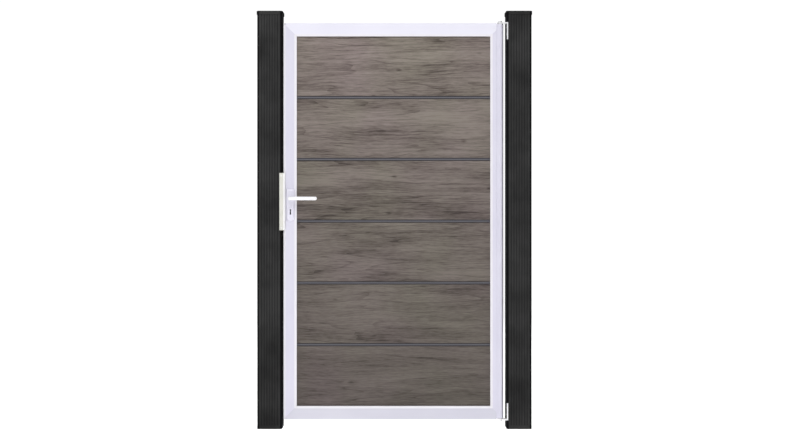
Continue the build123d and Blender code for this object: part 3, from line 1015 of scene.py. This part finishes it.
# 3b3a3d is painted shade deeper in the grooves; #5c5b61 is the bead's own core colour.
core_and_painted_groove_shade = add_node(
    tree,
    "ShaderNodeMix",
    {"data_type": "RGBA"},
    {"A": srgb("#3b3a3d"), "B": srgb("#5c5b61")},
    {"Factor": on_bead.outputs["Value"]},
)
whole = add_node(
    tree,
    "ShaderNodeMix",
    {"data_type": "RGBA"},
    links={"Factor": on_face.outputs["Value"], "A": core_and_painted_groove_shade.outputs[2], "B": print_with_painted_shade.outputs["Color"]},
)
tree.links.new(whole.outputs[2], shader.inputs["Base Color"])
matt = add_node(
    tree,
    "ShaderNodeMapRange",
    inputs={"From Min": 0.3, "From Max": 0.7, "To Min": 0.62, "To Max": 0.5},
    links={"Value": pores.outputs["Fac"]},
)
tree.links.new(matt.outputs["Result"], shader.inputs["Roughness"])
emboss = add_node(
    tree,
    "ShaderNodeBump",
    inputs={"Strength": 0.3, "Distance": 0.0004},
    links={"Height": pores.outputs["Fac"]},
)
tree.links.new(emboss.outputs["Normal"], shader.inputs["Normal"])
for number in range(1, 7):
    dress("board_" + str(number), oak_foil)


# ---- bushes -----------------------------------------------------------------------------
# Flanged nylon sleeves pressed into the ends of the hinge tube, for the pins to turn in.

# Nylon, moulded: an off-white plastic, slightly waxy, with a faint mottle.
nylon, tree, shader = new_material("moulded nylon", {"Roughness": 0.45, "IOR": 1.53})
place = add_node(tree, "ShaderNodeTexCoord")
mottle = add_node(
    tree,
    "ShaderNodeTexNoise",
    inputs={"Scale": 60.0, "Detail": 3.0},
    links={"Vector": place.outputs["Object"]},
)
ramp = add_node(tree, "ShaderNodeValToRGB", links={"Fac": mottle.outputs["Fac"]})
ramp.color_ramp.elements[0].color = srgb("#cfcfcc")
ramp.color_ramp.elements[1].color = srgb("#e0e0de")
tree.links.new(ramp.outputs["Color"], shader.inputs["Base Color"])
for side_name in ("top", "bottom"):
    dress(side_name + "_hinge_bush", nylon)


# ---- lock -------------------------------------------------------------------------------
# A mortise lock in the latch stile. Its forend is a round-ended steel strip screwed flush
# into the stile's edge, with the latch bolt and the dead bolt drawn back in their windows.

forend_low, forend_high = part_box("lock_forend")
forend_mid_y = (forend_low[1] + forend_high[1]) / 2
forend = copy_node("lock_forend", "lock_forend_strip")
window_margin_z = 0.003
window_margin_y = 0.002
bolt_clearance = 0.0003
bolt_sunk = 0.0004
bolt_tail = 0.001
forend_edge = 0.0003
bolt_round = 0.0008
forend_screw_radius = 0.0036
forend_screw_inset = 0.014
forend_screw_sunk = 0.0001
window_y = (keep_y[0] + window_margin_y, keep_y[1] - window_margin_y)
windows = (
    ("latch_bolt", latch_z[0] + window_margin_z, latch_z[1] - window_margin_z),
    ("dead_bolt", bolt_z[0] + window_margin_z, bolt_z[1] - window_margin_z),
)
for name, low_z, high_z in windows:
    window_low = (forend_low[0] - cutter_overrun, window_y[0], low_z)
    window_high = (forend_high[0] + cutter_overrun, window_y[1], high_z)
    cut(forend, add_block("window", window_low, window_high))
soften(forend, forend_edge, 2)
fit_out(forend, stainless, "leaf", "lock_forend")
for name, low_z, high_z in windows:
    bolt_low = (forend_low[0] + bolt_sunk, window_y[0] + bolt_clearance, low_z + bolt_clearance)
    bolt_high = (forend_high[0] + bolt_tail, window_y[1] - bolt_clearance, high_z - bolt_clearance)
    bolt = add_block(name, bolt_low, bolt_high)
    soften(bolt, bolt_round, 3)
    fit_out(bolt, stainless, "leaf", None)
for tag, screw_z in (
    ("low", forend_low[2] + forend_screw_inset), ("high", forend_high[2] - forend_screw_inset)
):
    spot = (forend_low[0] + forend_screw_sunk, forend_mid_y, screw_z)
    add_screw("forend_screw_" + tag, spot, (-1, 0, 0), forend_screw_radius, "leaf")
dress("spindle", stainless)

# Painted shade: the closed lock case is coloured nearly black, half-matt, with a faint orange
# peel, for the shade inside the keyhole, so that the keyhole looks dark.
keyhole_painted_shade, tree, shader = new_material(
    "lock case, keyhole painted shade", {"Roughness": 0.6, "Specular IOR Level": 0.3, "IOR": 1.5}
)
place = add_node(tree, "ShaderNodeTexCoord")
peel = add_node(
    tree,
    "ShaderNodeTexNoise",
    inputs={"Scale": 300.0, "Detail": 3.0},
    links={"Vector": place.outputs["Object"]},
)
# The painted shade's near-black colours.
ramp = add_node(tree, "ShaderNodeValToRGB", links={"Fac": peel.outputs["Fac"]})
ramp.color_ramp.elements[0].color = srgb("#121213")
ramp.color_ramp.elements[1].color = srgb("#1d1d1f")
tree.links.new(ramp.outputs["Color"], shader.inputs["Base Color"])
dress("lock_case", keyhole_painted_shade)


# ---- backplates -------------------------------------------------------------------------
# A pressed aluminium plate on each face of the latch stile, arched above and round below.
# It has a flat border, a raised field with its own arch, a raised oval round the keyhole
# and a collar round the lever's neck.

plate_low, plate_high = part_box("front_backplate")
plate_width = plate_high[0] - plate_low[0]
plate_x = (plate_low[0] + plate_high[0]) / 2
leaf_front_y = plate_high[1]
arch_rise = 0.0075
foot_rise = 0.018
border_y = leaf_front_y - 0.0050
field_rise = 0.0015
border_width = 0.0056
rolled_edge = 0.0026
field_arch_drop = 0.013
spindle_low, spindle_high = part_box("spindle")
spindle_z = (spindle_low[2] + spindle_high[2]) / 2
keyhole_z = spindle_z - 0.0615
boss_width = 0.027
boss_height = 0.045
boss_round = 0.0022
collar_radius = 0.0125
collar_length = 0.007
collar_mid_drop = 0.0040
collar_round = 0.0012
neck_hole_radius = 0.0093
through_length = 0.03
keyhole_height = 0.025
keyhole_round = 0.0036
keyhole_throat = 0.0045
keyhole_foot = 0.007
keyhole_top = keyhole_z + keyhole_height / 2


def arched_slab(name, half_width, low_z, high_z, arch, foot, back_y, front_y, edge):
    """A slab facing -Y, arched above and round below, with a sloping edge round its face."""
    bpy.ops.object.select_all(action="DESELECT")
    bpy.ops.mesh.primitive_circle_add(
        vertices=64,
        radius=half_width,
        fill_type="NGON",
        location=(plate_x, back_y, low_z + foot),
        rotation=(math.radians(90), 0, 0),
    )
    slab = start_piece(name)
    bpy.ops.object.transform_apply(location=True, rotation=True, scale=True)
    pick_points(slab, lambda spot: spot.z < low_z + foot - 0.0001)
    bpy.ops.transform.resize(
        value=(1, 1, foot / half_width), center_override=(plate_x, back_y, low_z + foot)
    )
    pick_points(slab, lambda spot: spot.z > low_z + foot + 0.0001)
    bpy.ops.transform.resize(
        value=(1, 1, arch / half_width), center_override=(plate_x, back_y, low_z + foot)
    )
    bpy.ops.transform.translate(value=(0, 0, high_z - arch - low_z - foot))
    bpy.ops.mesh.select_all(action="SELECT")
    bpy.ops.mesh.extrude_region_move(TRANSFORM_OT_translate={"value": (0, front_y + edge - back_y, 0)})
    bpy.ops.mesh.select_all(action="SELECT")
    bpy.ops.mesh.normals_make_consistent(inside=False)
    pick_faces(slab, lambda center, normal: normal.y < -0.9)
    bpy.ops.mesh.inset(thickness=edge, depth=edge)
    bpy.ops.object.mode_set(mode="OBJECT")
    return slab


def add_rod(name, vertices, radius, length, middle, stretch=1.0):
    """A rod primitive along Y, stretched in height where it is to be an oval."""
    bpy.ops.object.select_all(action="DESELECT")
    bpy.ops.mesh.primitive_cylinder_add(
        vertices=vertices,
        radius=radius,
        depth=length,
        location=middle,
        rotation=(math.radians(90), 0, 0),
    )
    rod = start_piece(name)
    rod.scale = (1, stretch, 1)
    bpy.ops.object.transform_apply(location=True, rotation=True, scale=True)
    return rod


def round_front(rod, width, segments):
    """Round the edge of a rod's end that faces -Y."""
    pick_faces(rod, lambda center, normal: normal.y < -0.9)
    bpy.ops.mesh.bevel(affect="EDGES", offset=width, segments=segments)
    bpy.ops.object.mode_set(mode="OBJECT")


plate = arched_slab(
    "front_rose_plate",
    plate_width / 2,
    plate_low[2],
    plate_high[2],
    arch_rise,
    foot_rise,
    leaf_front_y,
    border_y,
    rolled_edge,
)
field = arched_slab(
    "field",
    plate_width / 2 - border_width,
    plate_low[2] + border_width,
    plate_high[2] - field_arch_drop,
    arch_rise,
    foot_rise - border_width,
    leaf_front_y - 0.001,
    border_y - field_rise,
    field_rise,
)
cut(plate, field, "UNION")

boss_mid_y = (plate_low[1] + plate_high[1]) / 2
boss = add_rod(
    "boss",
    64,
    boss_width / 2,
    plate_high[1] - plate_low[1],
    (plate_x, boss_mid_y, keyhole_z),
    boss_height / boss_width,
)
round_front(boss, boss_round, 4)
cut(plate, boss, "UNION")
collar = add_rod(
    "collar", 64, collar_radius, collar_length, (plate_x, leaf_front_y - collar_mid_drop, spindle_z)
)
round_front(collar, collar_round, 3)
cut(plate, collar, "UNION")
cut(
    plate,
    add_rod("neck_hole", 64, neck_hole_radius, through_length, (plate_x, leaf_front_y, spindle_z)),
)
cut(
    plate,
    add_rod(
        "keyhole",
        32,
        keyhole_round,
        through_length,
        (plate_x, leaf_front_y, keyhole_top - keyhole_round),
    ),
)
throat_low = (
    plate_x - keyhole_throat / 2, leaf_front_y - through_length / 2, keyhole_z - keyhole_height / 2
)
throat_high = (
    plate_x + keyhole_throat / 2, leaf_front_y + through_length / 2, keyhole_top - keyhole_round
)
throat = add_block("throat", throat_low, throat_high)
pick_faces(throat, lambda center, normal: normal.z < -0.9)
bpy.ops.transform.resize(
    value=(keyhole_foot / keyhole_throat, 1, 1), center_override=(plate_x, leaf_front_y, 0)
)
bpy.ops.object.mode_set(mode="OBJECT")
cut(plate, throat)
take(plate)
bpy.ops.object.shade_smooth_by_angle(angle=math.radians(30))

# Aluminium, pressed and anodised silver: the frame's metal with a finer, smoother satin.
plate_metal, tree, shader = new_material("pressed anodised aluminium", {"Metallic": 0.55})
place = add_node(tree, "ShaderNodeTexCoord")
brush_frame = add_node(
    tree,
    "ShaderNodeMapping",
    inputs={"Scale": (900, 900, 40)},
    links={"Vector": place.outputs["Object"]},
)
brush = add_node(
    tree,
    "ShaderNodeTexNoise",
    inputs={"Scale": 1.0, "Detail": 3.0},
    links={"Vector": brush_frame.outputs["Vector"]},
)
ramp = add_node(tree, "ShaderNodeValToRGB", links={"Fac": brush.outputs["Fac"]})
ramp.color_ramp.elements[0].position = 0.3
ramp.color_ramp.elements[0].color = srgb("#d6d4e2")
ramp.color_ramp.elements[1].position = 0.7
ramp.color_ramp.elements[1].color = srgb("#dcdae6")
tree.links.new(ramp.outputs["Color"], shader.inputs["Base Color"])
spread = add_node(
    tree,
    "ShaderNodeMapRange",
    inputs={"From Min": 0.3, "From Max": 0.7, "To Min": 0.36, "To Max": 0.46},
    links={"Value": brush.outputs["Fac"]},
)
tree.links.new(spread.outputs["Result"], shader.inputs["Roughness"])


def mirrored(piece, name):
    """A copy of a piece, mirrored to the other face of the leaf."""
    twin = bpy.data.objects.new(name, piece.data.copy())
    bpy.context.scene.collection.objects.link(twin)
    take(twin)
    bpy.ops.object.mode_set(mode="EDIT")
    bpy.ops.mesh.select_all(action="SELECT")
    bpy.ops.transform.resize(value=(1, -1, 1), center_override=(0, board_mid_y, 0))
    bpy.ops.mesh.normals_make_consistent(inside=False)
    bpy.ops.object.mode_set(mode="OBJECT")
    return twin


back_plate = mirrored(plate, "back_rose_plate")
fit_out(plate, plate_metal, "leaf", "front_backplate")
fit_out(back_plate, plate_metal, "leaf", "back_backplate")


# ---- levers -----------------------------------------------------------------------------
# Cast aluminium levers, one on each face: a round neck through the backplate's collar and a
# straight grip with round ends and rolled edges, powder-coated white.

lever_low, lever_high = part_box("front_lever")
grip_half = 0.0083
grip_depth = 0.011
grip_round = 0.0042
neck_radius = 0.009
neck_lap = 0.003
neck_start_y = lever_high[1]
grip_front_y = lever_low[1]
grip_back_y = grip_front_y + grip_depth
grip_left_x = lever_low[0]
grip_right_x = lever_high[0]
bpy.ops.object.select_all(action="DESELECT")
bpy.ops.mesh.primitive_circle_add(
    vertices=48,
    radius=grip_half,
    fill_type="NGON",
    location=(grip_left_x + grip_half, grip_back_y, spindle_z),
    rotation=(math.radians(90), 0, 0),
)
lever = start_piece("front_lever_grip")
bpy.ops.object.transform_apply(location=True, rotation=True, scale=True)
pick_points(lever, lambda spot: spot.x > grip_left_x + grip_half + 0.0001)
bpy.ops.transform.translate(value=(grip_right_x - grip_left_x - 2 * grip_half, 0, 0))
bpy.ops.mesh.select_all(action="SELECT")
bpy.ops.mesh.extrude_region_move(TRANSFORM_OT_translate={"value": (0, grip_front_y - grip_back_y, 0)})
bpy.ops.mesh.select_all(action="SELECT")
bpy.ops.mesh.normals_make_consistent(inside=False)
pick_faces(lever, lambda center, normal: abs(normal.y) > 0.9)
bpy.ops.mesh.bevel(affect="EDGES", offset=grip_round, segments=6, clamp_overlap=True)
bpy.ops.object.mode_set(mode="OBJECT")

neck_end_y = grip_back_y - neck_lap
neck_middle = (plate_x, (neck_start_y + neck_end_y) / 2, spindle_z)
cut(
    lever, add_rod("neck", 64, neck_radius, neck_start_y - grip_back_y + neck_lap, neck_middle), "UNION"
)
bpy.ops.object.shade_smooth_by_angle(angle=math.radians(35))
back_lever = mirrored(lever, "back_lever_grip")
fit_out(lever, white_coat, "handle", "front_lever")
fit_out(back_lever, white_coat, "handle", "back_lever")


# ---- floor ------------------------------------------------------------------------------
# A plain pale studio floor under the posts' feet.

floor_size = 14
floor_low_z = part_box("hinge_post_foot")[0][2]
gate_middle_x = (cad_box[0][0] + cad_box[1][0]) / 2
bpy.ops.object.select_all(action="DESELECT")
bpy.ops.mesh.primitive_plane_add(size=floor_size, location=(gate_middle_x, 0, floor_low_z))
floor = start_piece("studio_floor")
bpy.ops.object.transform_apply(location=True, rotation=True, scale=True)
# Emulsion paint, rolled on: dead matt white with a faint cloudiness from the roller.
floor_paint, tree, shader = new_material(
    "rolled white floor paint", {"Roughness": 0.95, "Specular IOR Level": 0.1}
)
place = add_node(tree, "ShaderNodeTexCoord")
rolled = add_node(
    tree,
    "ShaderNodeTexNoise",
    inputs={"Scale": 4.0, "Detail": 3.0},
    links={"Vector": place.outputs["Object"]},
)
ramp = add_node(tree, "ShaderNodeValToRGB", links={"Fac": rolled.outputs["Fac"]})
ramp.color_ramp.elements[0].color = srgb("#f6f6f6")
ramp.color_ramp.elements[1].color = srgb("#fcfcfc")
tree.links.new(ramp.outputs["Color"], shader.inputs["Base Color"])
floor.data.materials.append(floor_paint)


# ---- light ------------------------------------------------------------------------------
# A soft white room with greyer side walls, which draw the metal's upright edges; a soft
# lamp in front, high and to the left; and one behind for the back.

world = bpy.data.worlds.new("studio")
bpy.context.scene.world = world
world.use_nodes = True
room = world.node_tree
surround = room.nodes["Background"]
surround.inputs["Color"].default_value = (1, 1, 1, 1)
backdrop = add_node(room, "ShaderNodeBackground", inputs={"Color": (1, 1, 1, 1), "Strength": 1.05})
ray = add_node(room, "ShaderNodeLightPath")
heading = add_node(room, "ShaderNodeTexCoord")
heading_parts = add_node(room, "ShaderNodeSeparateXYZ", links={"Vector": heading.outputs["Generated"]})
sideways = add_node(
    room, "ShaderNodeMath", {"operation": "ABSOLUTE"}, links={0: heading_parts.outputs["X"]}
)
mirrored_room = add_node(
    room,
    "ShaderNodeMapRange",
    inputs={"From Min": 0.5, "From Max": 1.0, "To Min": 1.05, "To Max": 0.75},
    links={"Value": sideways.outputs["Value"]},
)
strength = add_node(
    room,
    "ShaderNodeMix",
    {"data_type": "FLOAT"},
    {"A": 0.28},
    {"Factor": ray.outputs["Is Glossy Ray"], "B": mirrored_room.outputs["Result"]},
)
room.links.new(strength.outputs[0], surround.inputs["Strength"])
either = add_node(
    room,
    "ShaderNodeMixShader",
    links={0: ray.outputs["Is Camera Ray"], 1: surround.outputs[0], 2: backdrop.outputs[0]},
)
room.links.new(either.outputs[0], room.nodes["World Output"].inputs["Surface"])


def soft_box(name, place, aim, size, power):
    """A square area light at a place, aimed at a point, that isn't mirrored in the metal."""
    bpy.ops.object.light_add(type="AREA", location=place)
    lamp = bpy.context.object
    lamp.name = name
    lamp.data.shape = "SQUARE"
    lamp.data.size = size
    lamp.data.energy = power
    lamp.rotation_euler = (Vector(aim) - Vector(place)).to_track_quat("-Z", "Y").to_euler()
    lamp.visible_glossy = False


soft_box("key_light", (-1.1, -3.1, 3.4), (gate_middle_x, 0, 1.2), 1.5, 112)
soft_box("back_light", (0.2, 3.4, 3.0), (gate_middle_x, 0, 1.1), 2.0, 90)

# An even light straight down that only the floor takes, so that it stays white to its edge.
bpy.ops.object.light_add(type="SUN", location=(gate_middle_x, 0, 4))
floor_light = bpy.context.object
floor_light.name = "floor_light"
floor_light.data.energy = 2.5
floor_only = bpy.data.collections.new("floor only")
floor_only.objects.link(floor)
floor_light.light_linking.receiver_collection = floor_only
floor_light.light_linking.blocker_collection = floor_only


# ---- camera -----------------------------------------------------------------------------
# Level with the middle of the leaf and square to it, 6.5 m in front of the posts.

camera_distance = 6.5
camera_height = 1.145
view_width = 3.587
sensor_width = 36.0
horizon_rise = 0.057
camera_side_step = 0.0027

bpy.ops.object.camera_add(
    location=(gate_middle_x + camera_side_step, post_front_y - camera_distance, camera_height),
    rotation=(math.radians(90), 0, 0),
)
camera = bpy.context.object
camera.data.sensor_width = sensor_width
camera.data.lens = sensor_width * camera_distance / view_width
camera.data.shift_y = -horizon_rise
bpy.context.scene.camera = camera
bpy.context.scene.view_settings.view_transform = "Standard"
